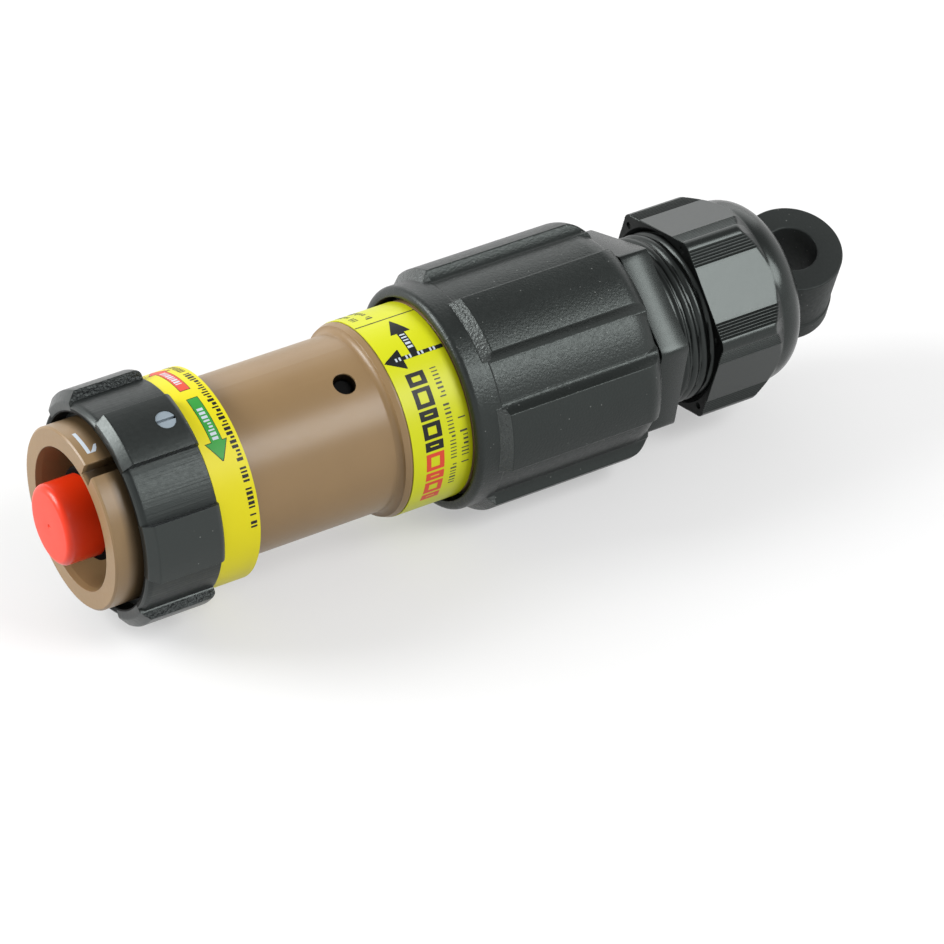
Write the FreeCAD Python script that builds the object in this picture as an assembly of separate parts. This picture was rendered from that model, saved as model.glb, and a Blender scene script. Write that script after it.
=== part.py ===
import FreeCAD, Part
import math
import os

# Single pole power connector with a locking ring, a rear grip and a cable gland.
# The axis of the connector is X. It starts at the front face of the nose and grows
# towards the cable. Z is up, and the connector lies on its side. A clock angle is
# seen from the front: 0 is the top, and it grows towards -Y. All sizes are in mm.

Vector = FreeCAD.Vector
ORIGIN = Vector(0, 0, 0)
AXIS = Vector(1, 0, 0)

# Clearances
running_gap = 0.3
fitted_gap = 0.05
ring_seal_gap = 0.1
pin_bore_gap = 0.25
guide_groove_gap = 0.2
thread_relief = 1.0

# Brown insulator
nose_radius = 25.0
nose_wall = 5.6
nose_depth = 38.0
nose_edge = 0.5
ring_seat_step = 0.2
lead_in_step = 0.3
lead_in_depth = 1.8
keyway_width = 3.9
keyway_length = 14.0
keyway_angle = 28.2
keyway_floor_wall = 1.3
barrel_step = 0.4
barrel_exposed = 43.2
flare_length = 1.6
flare_hollow = 0.55
flange_radius = 27.1
flange_bevel_length = 1.4
flange_bevel_drop = 0.55
flange_width = 0.3
label_seat_depth = 0.15
neck_beyond_label = 7.6
shell_thread_height = 0.9
shell_thread_length = 13.0
shell_tail_length = 2.0
web_thickness = 18.0
latch_hole_radius = 3.15
latch_hole_angle = 27.2
latch_from_shoulder = 19.6

# Locking ring
nose_exposed = 6.8
ring_low_height = 0.7
ring_block_height = 2.7
ring_block_half_angle = 15.0
ring_block_root_angle = 15.4
ring_block_angle = 22.5
block_sink = 2.5
ring_grip_length = 21.6
ring_band_length = 11.6
ring_band_wall = 3.7
ring_front_drop = 1.2
ring_front_chamfer = 1.3
ring_block_chamfer = 2.2
ring_front_recess_gap = 1.6
ring_front_recess_depth = 4.2
ring_rear_round = 2.0
block_count = 6
guide_screw_angle = 21.5
guide_screw_from_band = 5.6
guide_screw_radius = 2.7
guide_screw_sink = 0.25
guide_slot_width = 0.8
guide_slot_depth = 1.0
guide_tip_radius = 2.0
guide_groove_depth = 2.4
ring_turn = 45.0

# Labels
label_thickness = 0.3
label_inset = 0.2
label_seat_spare = 0.5
rear_label_length = 18.0
rear_label_from_flange = 0.4

# Round seals, given by the radius of their section
ring_seal_section = 1.15
ring_seal_from_band = 5.1
contact_seal_section = 0.9
contact_seal_from_shoulder = 10.0
shell_seal_section = 1.25
shell_seal_from_neck = 4.9
seal_groove_side = 0.3

# Contact and its touch-proof tip
pin_radius = 12.7
pin_start = 4.5
pin_edge = 0.4
pin_root_radius = 13.2
pin_root_length = 18.5
contact_barrel_radius = 17.5
contact_barrel_length = 68.0
contact_edge = 0.8
cable_bore_radius = 10.0
cable_bore_depth = 42.0
cable_bore_point = 2.5
tip_radius = 11.1
tip_overhang = 6.2
tip_round = 1.6
tip_dimple_radius = 0.5
tip_dimple_depth = 0.3
tip_stem_radius = 4.0
tip_stem_length = 9.0

# Latch that holds the contact in the insulator
latch_pin_radius = 2.95
latch_pin_edge = 0.6
latch_collar_radius = 3.8
latch_collar_length = 3.8
latch_collar_floor = 1.0
latch_pin_sink = 2.5
latch_travel = 4.6
latch_side_gap = 0.1
latch_seat_gap = 0.1
spring_radius = 1.9
spring_wire_radius = 0.35
spring_turns = 5
spring_seat_radius = 2.4

# Set screws that clamp the cable
clamp_screw_radius = 6.0
clamp_screw_from_end = 12.0
clamp_screw_spacing = 16.0
clamp_screw_reach = 1.5
clamp_screw_gap = 0.15
clamp_socket_across = 6.0
clamp_socket_depth = 5.0

# Rear grip
grip_lip_before_neck = 0.8
grip_opening_gap = 1.4
grip_collar_wall = 2.8
grip_collar_length = 8.0
grip_lip_round = 1.8
grip_low_step = 0.4
grip_block_height = 3.0
grip_block_half_angle = 15.0
grip_block_root_angle = 20.0
grip_block_angle = 27.0
grip_block_front_start = 5.4
grip_block_front_slope = 3.6
grip_block_front_sink = 0.5
grip_block_hollow = 0.12
grip_length = 58.0
grip_rear_round = 6.0
grip_rear_drop = 3.6
grip_cavity_radius = 22.0
grip_rear_wall = 12.6

# Cable gland
gland_entry_radius = 20.0
gland_entry_length = 15.0
gland_bore_radius = 17.0
gland_hex_across = 50.8
gland_hex_length = 8.8
gland_hex_angle = 12.0
gland_thread_radius = 23.05
gland_thread_length = 19.7
gasket_thickness = 1.4
gasket_radius = 24.2
gasket_gap = 0.1

# Clamping cage in the gland
cage_length = 22.0
cage_base_length = 4.0
cage_radius = 20.8
cage_bore_radius = 17.4
cage_tip_radius = 19.5
cage_taper_length = 9.0
cage_slot_width = 2.4
cage_finger_count = 12

# Dome nut
nut_gap = 10.2
nut_travel = 7.0
nut_across = 52.0
nut_corner_angle = 19.0
nut_hex_length = 16.8
nut_corner_cut = 0.42
nut_mark_radius = 0.9
nut_mark_depth = 0.6
nut_mark_inset = 3.5
nut_mark_turn = 2.0
nut_corner_chamfer = 5.2
nut_chamfer_lead = 1.5
nut_shoulder_radius = 26.1
nut_length = 31.8
nut_thread_radius = 23.95
nut_thread_depth = 16.6
nut_mouth_radius = 16.6
nut_rim_radius = 18.6
nut_dome_place = 0.67
nut_dome_share = 0.29
nut_thread_chamfer = 1.2

# Rubber insert wedged in the mouth of the dome nut
insert_radius = 14.4
insert_bore_radius = 7.15
insert_length = 23.2
insert_waist = 0.4
insert_ridge_height = 5.0
insert_edge = 0.3
insert_tilt = 20.7
insert_lean = 4.2
insert_seat_gap = 0.15

# Places along the axis, worked out from the sizes above
ring_start = nose_exposed
band_start = ring_start + ring_grip_length
ring_end = band_start + ring_band_length
ring_recess_end = ring_start + ring_front_recess_depth
nose_end = band_start + ring_band_length / 4
flare_start = ring_end + barrel_exposed
flange_bevel_start = flare_start + flare_length
flange_start = flange_bevel_start + flange_bevel_length
label_seat_start = flange_start + flange_width
rear_label_start = label_seat_start + rear_label_from_flange
label_seat_end = rear_label_start + rear_label_length + label_seat_spare
shell_thread_start = label_seat_end + neck_beyond_label
shell_thread_end = shell_thread_start + shell_thread_length
shell_end = shell_thread_end + shell_tail_length
shoulder = nose_depth + web_thickness
contact_end = shoulder + contact_barrel_length
latch_x = shoulder + latch_from_shoulder
guide_screw_x = band_start - guide_screw_from_band
ring_seal_x = band_start + ring_seal_from_band
contact_seal_x = shoulder - contact_seal_from_shoulder
shell_seal_x = label_seat_end + shell_seal_from_neck
grip_start = label_seat_end - grip_lip_before_neck
grip_end = grip_start + grip_length
gland_start = grip_end + gasket_thickness
gland_hex_end = gland_start + gland_hex_length
gland_end = gland_hex_end + gland_thread_length
nut_start = gland_hex_end + nut_gap
nut_cone_start = nut_start + nut_thread_depth
nut_end = nut_start + nut_length

# Radii that follow from their neighbours
nose_bore_radius = nose_radius - nose_wall
lead_in_radius = nose_bore_radius + lead_in_step
ring_seat_radius = nose_radius - ring_seat_step
barrel_radius = nose_radius - barrel_step
ring_bore_radius = ring_seat_radius + running_gap
ring_band_radius = ring_bore_radius + ring_band_wall
ring_low_radius = ring_band_radius + ring_low_height
ring_block_radius = ring_low_radius + ring_block_height
ring_front_radius = ring_low_radius - ring_front_drop
pin_bore_radius = pin_root_radius + pin_bore_gap
contact_bore_radius = contact_barrel_radius + running_gap
label_seat_radius = flange_radius - label_seat_depth
shell_thread_radius = flange_radius + shell_thread_height
grip_opening_radius = flange_radius + grip_opening_gap
grip_collar_radius = grip_opening_radius + grip_collar_wall
grip_low_radius = grip_collar_radius - grip_low_step
grip_block_radius = grip_low_radius + grip_block_height
grip_thread_radius = shell_thread_radius + fitted_gap
cage_seat_radius = cage_radius + running_gap


def clock(shape, angle):
    """Turn a shape that was made at the top to a clock angle."""
    turned_shape = shape.copy()
    turned_shape.rotate(ORIGIN, AXIS, angle)
    return turned_shape


def clock_point(x, radius, angle):
    turn = math.radians(angle)
    return Vector(x, -radius * math.sin(turn), radius * math.cos(turn))


def turned(start, *steps):
    """Solid of revolution about X. A step is an (x, radius) point for a straight edge,
    or a pair of such points for an arc through the first to the second."""
    edges = []
    here = Vector(start[0], 0, start[1])
    first = here
    for step in steps + (start,):
        if isinstance(step[0], tuple):
            middle = Vector(step[0][0], 0, step[0][1])
            end = Vector(step[1][0], 0, step[1][1])
            edges.append(Part.Arc(here, middle, end).toShape())
        else:
            end = Vector(step[0], 0, step[1])
            if end.distanceToPoint(here) > 1e-6:
                edges.append(Part.makeLine(here, end))
        here = end
    assert here.distanceToPoint(first) < 1e-6
    return Part.Face(Part.Wire(edges)).revolve(ORIGIN, AXIS, 360)


def tube(start, end, inner, outer):
    return turned((start, inner), (start, outer), (end, outer), (end, inner))


def ring_sector(start, end, inner, outer, angle, sweep):
    """Part of a tube that starts at a clock angle."""
    corners = [(start, inner), (start, outer), (end, outer), (end, inner), (start, inner)]
    face = Part.Face(Part.makePolygon([Vector(x, 0, radius) for x, radius in corners]))
    return clock(face.revolve(ORIGIN, AXIS, sweep), angle)


def radial_rod(x, angle, radius, low, high):
    """Rod that points out from the axis, between two distances from it."""
    return clock(Part.makeCylinder(radius, high - low, Vector(x, 0, low)), angle)


def hexagon(start, end, across, corner_angle):
    corner = across / 2 / math.cos(math.radians(30))
    points = [clock_point(start, corner, corner_angle + 60 * side) for side in range(7)]
    return Part.Face(Part.makePolygon(points)).extrude(Vector(end - start, 0, 0))


def torus(x, radius, section):
    return Part.makeTorus(radius, section, Vector(x, 0, 0), AXIS)


def seal_groove(x, floor, section):
    """Groove for a round seal that lies on a floor of the given radius."""
    half_width = section + seal_groove_side
    return tube(x - half_width, x + half_width, floor, floor + 4 * section)


def grip_block(start, end, low, high, half_angle, root_angle, hollow=0):
    """Raised block on a round grip, with straight or hollow sides."""
    sunk = low - block_sink
    left_top = clock_point(start, high, -half_angle)
    right_top = clock_point(start, high, half_angle)
    left_root = clock_point(start, low, -root_angle)
    right_root = clock_point(start, low, root_angle)
    left_sunk = clock_point(start, sunk, -root_angle)
    right_sunk = clock_point(start, sunk, root_angle)
    if hollow:
        near_root = low + (high - low) * (0.5 - hollow)
        near_angle = half_angle + (root_angle - half_angle) * (0.5 - hollow)
        right_side = Part.Arc(right_top, clock_point(start, near_root, near_angle), right_root).toShape()
        left_side = Part.Arc(left_root, clock_point(start, near_root, -near_angle), left_top).toShape()
    else:
        right_side = Part.makeLine(right_top, right_root)
        left_side = Part.makeLine(left_root, left_top)
    edges = [
        Part.Arc(left_top, clock_point(start, high, 0), right_top).toShape(),
        right_side,
        Part.makeLine(right_root, right_sunk),
        Part.Arc(right_sunk, clock_point(start, sunk, 0), left_sunk).toShape(),
        Part.makeLine(left_sunk, left_root),
        left_side,
    ]
    return Part.Face(Part.Wire(edges)).extrude(Vector(end - start, 0, 0))


def around(shape, first_angle, count):
    """Copies of a shape at even clock angles."""
    return [clock(shape, first_angle + 360.0 / count * number) for number in range(count)]


def front_shell():
    flare_top = flange_radius - flange_bevel_drop
    flare_middle = (barrel_radius + flare_top) / 2 - flare_hollow * math.sqrt(0.5)
    body = turned(
        (0, lead_in_radius),
        (0, nose_radius - nose_edge),
        (nose_edge, nose_radius),
        (ring_recess_end, nose_radius),
        (ring_recess_end, ring_seat_radius),
        (nose_end, ring_seat_radius),
        (nose_end + ring_seat_radius - barrel_radius, barrel_radius),
        (flare_start, barrel_radius),
        ((flare_start + flare_length / 2 + flare_hollow / 2, flare_middle), (flange_bevel_start, flare_top)),
        (flange_start, flange_radius),
        (label_seat_start, flange_radius),
        (label_seat_start, label_seat_radius),
        (label_seat_end, label_seat_radius),
        (label_seat_end, flange_radius),
        (shell_thread_start - shell_thread_radius + flange_radius, flange_radius),
        (shell_thread_start, shell_thread_radius),
        (shell_thread_end, shell_thread_radius),
        (shell_thread_end + shell_thread_radius - flange_radius, flange_radius),
        (shell_end, flange_radius),
        (shell_end, contact_bore_radius + contact_edge),
        (shell_end - contact_edge, contact_bore_radius),
        (shoulder, contact_bore_radius),
        (shoulder, pin_bore_radius),
        (nose_depth, pin_bore_radius),
        (nose_depth, nose_bore_radius),
        (lead_in_depth, nose_bore_radius),
    )
    keyway_end = keyway_length - keyway_width / 2
    inside = nose_bore_radius + keyway_floor_wall
    wall = nose_radius - inside + 1
    keyway = Part.makeBox(keyway_end + 1, keyway_width, wall, Vector(-1, -keyway_width / 2, inside))
    keyway_round = Part.makeCylinder(keyway_width / 2, wall, Vector(keyway_end, 0, inside))
    groove_floor = ring_seat_radius - guide_groove_depth
    groove_half = guide_tip_radius + guide_groove_gap
    groove_end = guide_screw_angle + ring_turn
    cuts = [
        clock(keyway, keyway_angle),
        clock(keyway_round, keyway_angle),
        ring_sector(
            guide_screw_x - groove_half,
            guide_screw_x + groove_half,
            groove_floor,
            nose_radius + 1,
            guide_screw_angle,
            ring_turn,
        ),
        radial_rod(guide_screw_x, guide_screw_angle, groove_half, groove_floor, nose_radius + 1),
        radial_rod(guide_screw_x, groove_end, groove_half, groove_floor, nose_radius + 1),
        seal_groove(ring_seal_x, ring_seal_floor(), ring_seal_section),
        seal_groove(shell_seal_x, shell_seal_floor(), shell_seal_section),
        radial_rod(latch_x, latch_hole_angle, latch_hole_radius, contact_barrel_radius, nose_radius + 1),
    ]
    return body.cut(cuts)


def ring_seal_floor():
    return ring_bore_radius - ring_seal_gap - 2 * ring_seal_section


def shell_seal_floor():
    return grip_opening_radius - ring_seal_gap - 2 * shell_seal_section


def contact_seal_floor():
    return pin_bore_radius - fitted_gap - 2 * contact_seal_section


def locking_ring():
    body = turned(
        (ring_start, ring_bore_radius + ring_front_recess_gap),
        (ring_start, ring_front_radius),
        (ring_start + ring_front_chamfer, ring_low_radius),
        (band_start, ring_low_radius),
        (band_start, ring_band_radius),
        (ring_end, ring_band_radius),
        (ring_end, ring_bore_radius),
        (ring_recess_end, ring_bore_radius),
        (ring_recess_end, ring_bore_radius + ring_front_recess_gap),
    )
    block = grip_block(
        ring_start,
        band_start,
        ring_low_radius,
        ring_block_radius,
        ring_block_half_angle,
        ring_block_root_angle,
    )
    corner = ring_rear_round * (1 - math.sqrt(0.5))
    ends = turned(
        (ring_start, 0),
        (ring_start, ring_low_radius),
        (ring_start + ring_block_chamfer, ring_block_radius),
        (band_start - ring_rear_round, ring_block_radius),
        (
            (band_start - corner, ring_block_radius - corner),
            (band_start, ring_block_radius - ring_rear_round),
        ),
        (band_start, 0),
    )
    blocks = [ends.common(copy) for copy in around(block, ring_block_angle, block_count)]
    screw_hole = radial_rod(
        guide_screw_x,
        guide_screw_angle,
        guide_screw_radius + fitted_gap,
        ring_bore_radius - 1,
        ring_block_radius + 1,
    )
    return body.fuse(blocks).removeSplitter().cut(screw_hole)


def ring_label():
    outer = ring_band_radius + label_thickness
    return tube(band_start + label_inset, ring_end - label_inset, ring_band_radius + fitted_gap, outer)


def ring_guide_screw():
    top = ring_block_radius - guide_screw_sink
    head_low = ring_bore_radius + running_gap
    tip_low = ring_seat_radius - guide_groove_depth + running_gap
    head = Part.makeCylinder(guide_screw_radius, top - head_low, Vector(guide_screw_x, 0, head_low))
    tip = Part.makeCylinder(guide_tip_radius, head_low - tip_low, Vector(guide_screw_x, 0, tip_low))
    slot = Part.makeBox(
        4 * guide_screw_radius,
        guide_slot_width,
        guide_screw_radius,
        Vector(guide_screw_x - 2 * guide_screw_radius, -guide_slot_width / 2, top - guide_slot_depth),
    )
    return clock(head.fuse(tip).removeSplitter().cut(slot), guide_screw_angle)


def ring_o_ring():
    return torus(ring_seal_x, ring_seal_floor() + ring_seal_section, ring_seal_section)


def contact_pin():
    bore_start = contact_end - cable_bore_depth
    body = turned(
        (pin_start, tip_stem_radius + fitted_gap),
        (pin_start, pin_radius - pin_edge),
        (pin_start + pin_edge, pin_radius),
        (shoulder - pin_root_length, pin_radius),
        (shoulder - pin_root_length, pin_root_radius),
        (shoulder, pin_root_radius),
        (shoulder, contact_barrel_radius),
        (contact_end - contact_edge, contact_barrel_radius),
        (contact_end, contact_barrel_radius - contact_edge),
        (contact_end, cable_bore_radius + contact_edge),
        (contact_end - contact_edge, cable_bore_radius),
        (bore_start, cable_bore_radius),
        (bore_start - cable_bore_point, 0),
        (pin_start + tip_stem_length, 0),
        (pin_start + tip_stem_length, tip_stem_radius + fitted_gap),
    )
    latch_hole_low = latch_collar_low() - latch_travel - running_gap
    cuts = [
        seal_groove(contact_seal_x, contact_seal_floor(), contact_seal_section),
        radial_rod(
            latch_x,
            latch_hole_angle,
            latch_collar_radius + latch_side_gap,
            latch_hole_low,
            contact_barrel_radius + 1,
        ),
    ]
    hole_radius = clamp_screw_radius + fitted_gap
    for number in range(2):
        cuts.append(radial_rod(clamp_screw_x(number), 0, hole_radius, 0, contact_barrel_radius + 1))
    return body.cut(cuts)


def contact_tip():
    corner = tip_round * (1 - math.sqrt(0.5))
    front = -tip_overhang
    cap = turned(
        (front, 0),
        (front, tip_radius - tip_round),
        ((front + corner, tip_radius - corner), (front + tip_round, tip_radius)),
        (pin_start, tip_radius),
        (pin_start, tip_stem_radius),
        (pin_start + tip_stem_length - running_gap, tip_stem_radius),
        (pin_start + tip_stem_length - running_gap, 0),
    )
    dimple = Part.makeCylinder(tip_dimple_radius, tip_dimple_depth, Vector(front, 0, 0), AXIS)
    return cap.cut(dimple)


def contact_seal():
    return torus(contact_seal_x, contact_seal_floor() + contact_seal_section, contact_seal_section)


def latch_collar_high():
    """Where the flat collar meets the round bore of the insulator."""
    return math.sqrt(contact_bore_radius**2 - latch_collar_radius**2) - latch_seat_gap


def latch_collar_low():
    return latch_collar_high() - latch_collar_length


def latch_pin():
    low = latch_collar_low()
    top = barrel_radius - latch_pin_sink
    collar = Part.makeCylinder(latch_collar_radius, latch_collar_length, Vector(latch_x, 0, low))
    rod = Part.makeCylinder(latch_pin_radius, top - low, Vector(latch_x, 0, low))
    edge = latch_pin_edge
    dome = Part.makeCone(latch_pin_radius, latch_pin_radius - edge, edge, Vector(latch_x, 0, top - edge))
    top_edge = Part.makeCylinder(latch_pin_radius * 2, edge, Vector(latch_x, 0, top - edge)).cut(dome)
    seat = Part.makeCylinder(spring_seat_radius, spring_seat_depth(), Vector(latch_x, 0, low))
    pin = collar.fuse(rod).removeSplitter().cut([seat, top_edge])
    return clock(pin, latch_hole_angle)


def spring_seat_depth():
    return latch_collar_length - latch_collar_floor


def latch_spring():
    floor = latch_collar_low() - latch_travel - running_gap
    ceiling = latch_collar_low() + spring_seat_depth()
    height = ceiling - floor - 2 * spring_wire_radius - 2 * ring_seal_gap
    helix = Part.makeHelix(height / spring_turns, height, spring_radius)
    section = Part.Wire(Part.makeCircle(spring_wire_radius, Vector(spring_radius, 0, 0), Vector(0, 1, 0)))
    coil = Part.Wire(helix.Edges).makePipeShell([section], True, True)
    coil.translate(Vector(latch_x, 0, floor + spring_wire_radius + ring_seal_gap))
    return clock(coil, latch_hole_angle)


def clamp_screw_x(number):
    return contact_end - clamp_screw_from_end - clamp_screw_spacing * (1 - number)


def clamp_screw(number):
    x = clamp_screw_x(number)
    low = cable_bore_radius - clamp_screw_reach
    top = math.sqrt(contact_bore_radius**2 - clamp_screw_radius**2) - clamp_screw_gap
    screw = Part.makeCylinder(clamp_screw_radius, top - low, Vector(x, 0, low))
    corner = clamp_socket_across / 2 / math.cos(math.radians(30))
    socket_floor = top - clamp_socket_depth
    points = []
    for side in range(7):
        turn = math.radians(60 * side)
        points.append(Vector(x + corner * math.cos(turn), corner * math.sin(turn), socket_floor))
    socket = Part.Face(Part.makePolygon(points)).extrude(Vector(0, 0, clamp_socket_depth))
    return screw.cut(socket)


def rear_label():
    outer = label_seat_radius + label_thickness
    end = rear_label_start + rear_label_length
    return tube(rear_label_start, end, label_seat_radius + fitted_gap, outer)


def shell_seal():
    return torus(shell_seal_x, shell_seal_floor() + shell_seal_section, shell_seal_section)


def rear_grip():
    collar_end = grip_start + grip_collar_length
    lip = grip_lip_round
    corner = lip * (1 - math.sqrt(0.5))
    rear_low = grip_low_radius - grip_rear_drop / 2
    rear_bend = grip_end - grip_rear_round
    rear_middle = grip_end - grip_rear_round / 3
    wall_start = grip_end - grip_rear_wall
    body = turned(
        (grip_start, grip_opening_radius + nose_edge),
        (grip_start, grip_collar_radius - lip),
        ((grip_start + corner, grip_collar_radius - corner), (grip_start + lip, grip_collar_radius)),
        (collar_end, grip_collar_radius),
        (collar_end + grip_low_step, grip_low_radius),
        (rear_bend, grip_low_radius),
        ((rear_middle, grip_low_radius - grip_rear_drop / 8), (grip_end, rear_low)),
        (grip_end, gland_entry_radius + fitted_gap),
        (wall_start, gland_entry_radius + fitted_gap),
        (wall_start, grip_cavity_radius),
        (shell_end, grip_cavity_radius),
        (shell_end, grip_thread_radius),
        (shell_thread_start - thread_relief, grip_thread_radius),
        (shell_thread_start - thread_relief, grip_opening_radius),
        (grip_start + nose_edge, grip_opening_radius),
    )
    front = grip_start + grip_block_front_start
    block = grip_block(
        front,
        grip_end,
        grip_low_radius,
        grip_block_radius,
        grip_block_half_angle,
        grip_block_root_angle,
        grip_block_hollow,
    )
    block_rear = grip_block_radius - grip_rear_drop
    ends = turned(
        (front, 0),
        (front, grip_low_radius - grip_block_front_sink),
        (front + grip_block_front_slope, grip_block_radius),
        (rear_bend, grip_block_radius),
        ((rear_middle, grip_block_radius - grip_rear_drop / 4), (grip_end, block_rear)),
        (grip_end, 0),
    )
    blocks = [ends.common(copy) for copy in around(block, grip_block_angle, block_count)]
    return body.fuse(blocks).removeSplitter()


def gland_gasket():
    return tube(grip_end, gland_start, gland_entry_radius + gasket_gap, gasket_radius)


def gland_body():
    entry_start = gland_start - gland_entry_length
    cage_room = cage_start() - nut_travel - running_gap
    edge = contact_edge
    barrel = turned(
        (entry_start, gland_bore_radius + edge),
        (entry_start, gland_entry_radius - edge),
        (entry_start + edge, gland_entry_radius),
        (gland_start, gland_entry_radius),
        (gland_start, gland_thread_radius),
        (gland_end - edge, gland_thread_radius),
        (gland_end, gland_thread_radius - edge),
        (gland_end, cage_seat_radius),
        (cage_room, cage_seat_radius),
        (cage_room, gland_bore_radius),
        (entry_start + edge, gland_bore_radius),
    )
    flange = hexagon(gland_start, gland_hex_end, gland_hex_across, gland_hex_angle)
    hole = Part.makeCylinder(gland_bore_radius + 1, gland_hex_length, Vector(gland_start, 0, 0), AXIS)
    return barrel.fuse(flange.cut(hole)).removeSplitter()


def cage_tip():
    """The finger tips stop just short of the cone in the dome nut."""
    return nut_cone_start + nut_thread_radius - cage_tip_radius - running_gap * math.sqrt(2)


def cage_start():
    return cage_tip() - cage_length


def gland_claw():
    start = cage_start()
    tip = cage_tip()
    cage = turned(
        (start, cage_bore_radius),
        (start, cage_radius),
        (tip - cage_taper_length, cage_radius),
        (tip, cage_tip_radius),
        (tip, cage_bore_radius),
    )
    slot_length = cage_length - cage_base_length + 1
    slot_low = cage_bore_radius - 2
    slot = Part.makeBox(
        slot_length,
        cage_slot_width,
        cage_radius - slot_low + 1,
        Vector(start + cage_base_length, -cage_slot_width / 2, slot_low),
    )
    return cage.cut(around(slot, 0, cage_finger_count))


def dome_nut():
    corner_radius = nut_across / 2 / math.cos(math.radians(30))
    hex_end = nut_start + nut_hex_length
    dome_start = hex_end + nut_corner_chamfer
    dome_length = nut_end - dome_start
    drop = nut_shoulder_radius - nut_rim_radius
    dome_middle = (dome_start + dome_length * nut_dome_place, nut_shoulder_radius - drop * nut_dome_share)
    cone_end = nut_cone_start + nut_thread_radius - nut_mouth_radius
    form = turned(
        (nut_start, nut_thread_radius + nut_thread_chamfer),
        (nut_start, corner_radius + 1),
        (hex_end - nut_chamfer_lead, corner_radius + 1),
        (dome_start, nut_shoulder_radius),
        (dome_middle, (nut_end, nut_rim_radius)),
        (nut_end, nut_mouth_radius),
        (cone_end, nut_mouth_radius),
        (nut_cone_start, nut_thread_radius),
        (nut_start + nut_thread_chamfer, nut_thread_radius),
    )
    flats = hexagon(nut_start, nut_end, nut_across, nut_corner_angle)
    corners = hexagon(nut_start, nut_end, 2 * (corner_radius - nut_corner_cut), nut_corner_angle + 30)
    mark_place = Vector(nut_start, 0, corner_radius - nut_mark_inset)
    mark = Part.makeCylinder(nut_mark_radius, nut_mark_depth, mark_place, AXIS)
    marks = around(mark, nut_corner_angle - nut_mark_turn, 6)
    return form.common(flats).common(corners).cut(marks)


def insert_centre():
    """Distance along the axis at which the insert's end edges rest in the mouth of the nut."""
    corner = math.hypot(insert_radius, insert_length / 2)
    depth = math.sqrt(corner**2 - (nut_mouth_radius - insert_seat_gap) ** 2)
    return nut_end + depth


def seal_insert():
    half = insert_length / 2
    ridge = insert_ridge_height - half
    waist = insert_radius - insert_waist
    points = [
        (insert_bore_radius, -half),
        (insert_radius - insert_edge, -half),
        (insert_radius, insert_edge - half),
        (insert_radius, ridge),
        (waist, ridge + insert_waist),
        (insert_radius, half - insert_edge),
        (insert_radius - insert_edge, half),
        (insert_bore_radius, half),
    ]
    outline = [Vector(radius, 0, height) for radius, height in points]
    rubber = Part.Face(Part.makePolygon(outline + outline[:1])).revolve(ORIGIN, Vector(0, 0, 1), 360)
    rubber.rotate(ORIGIN, Vector(0, 1, 0), -insert_lean)
    rubber.rotate(ORIGIN, AXIS, insert_tilt)
    rubber.translate(Vector(insert_centre(), 0, 0))
    return rubber


pieces = {
    "front_shell": front_shell(),
    "locking_ring": locking_ring(),
    "ring_label": ring_label(),
    "ring_guide_screw": ring_guide_screw(),
    "ring_o_ring": ring_o_ring(),
    "contact_pin": contact_pin(),
    "contact_tip": contact_tip(),
    "contact_seal": contact_seal(),
    "latch_pin": latch_pin(),
    "latch_spring": latch_spring(),
    "front_clamp_screw": clamp_screw(0),
    "rear_clamp_screw": clamp_screw(1),
    "rear_label": rear_label(),
    "shell_seal": shell_seal(),
    "rear_grip": rear_grip(),
    "gland_gasket": gland_gasket(),
    "gland_body": gland_body(),
    "gland_claw": gland_claw(),
    "dome_nut": dome_nut(),
    "seal_insert": seal_insert(),
}

os.makedirs("parts", exist_ok=True)
for name, shape in pieces.items():
    shape.exportStep("parts/" + name + ".step")
    volume = round(shape.Volume / 1000, 3)
    print(name, "solids", len(shape.Solids), "valid", shape.isValid(), "cm3", volume)
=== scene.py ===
import math
import random

import bmesh
import bpy
import numpy as np
from mathutils import Matrix, Vector


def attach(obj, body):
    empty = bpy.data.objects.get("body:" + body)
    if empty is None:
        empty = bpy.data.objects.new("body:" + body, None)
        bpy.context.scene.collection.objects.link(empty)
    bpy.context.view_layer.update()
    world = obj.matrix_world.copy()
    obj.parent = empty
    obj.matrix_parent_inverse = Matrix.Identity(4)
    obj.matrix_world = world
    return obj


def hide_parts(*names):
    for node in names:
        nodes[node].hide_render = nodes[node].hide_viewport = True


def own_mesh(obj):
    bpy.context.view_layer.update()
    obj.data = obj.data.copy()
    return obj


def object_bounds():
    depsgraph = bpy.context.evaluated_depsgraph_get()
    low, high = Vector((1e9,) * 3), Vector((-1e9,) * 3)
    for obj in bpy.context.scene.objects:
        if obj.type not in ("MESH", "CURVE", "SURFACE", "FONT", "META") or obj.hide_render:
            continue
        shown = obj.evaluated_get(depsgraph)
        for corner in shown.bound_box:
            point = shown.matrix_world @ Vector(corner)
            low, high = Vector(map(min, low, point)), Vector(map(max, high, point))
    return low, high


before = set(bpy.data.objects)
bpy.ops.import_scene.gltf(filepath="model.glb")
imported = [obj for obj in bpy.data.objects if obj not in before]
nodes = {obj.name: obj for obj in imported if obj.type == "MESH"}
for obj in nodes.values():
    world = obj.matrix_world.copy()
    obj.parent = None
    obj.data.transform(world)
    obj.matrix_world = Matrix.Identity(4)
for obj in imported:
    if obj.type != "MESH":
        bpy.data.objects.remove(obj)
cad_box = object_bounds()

# The connector's lengths are in millimetres, along its axis X and out from it. The camera,
# the floor and the lamps are placed in metres. A clock angle is in degrees, seen from the
# front: 0 is the top, and it grows towards -Y.
MM = 0.001
random.seed(7)


# Camera

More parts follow.
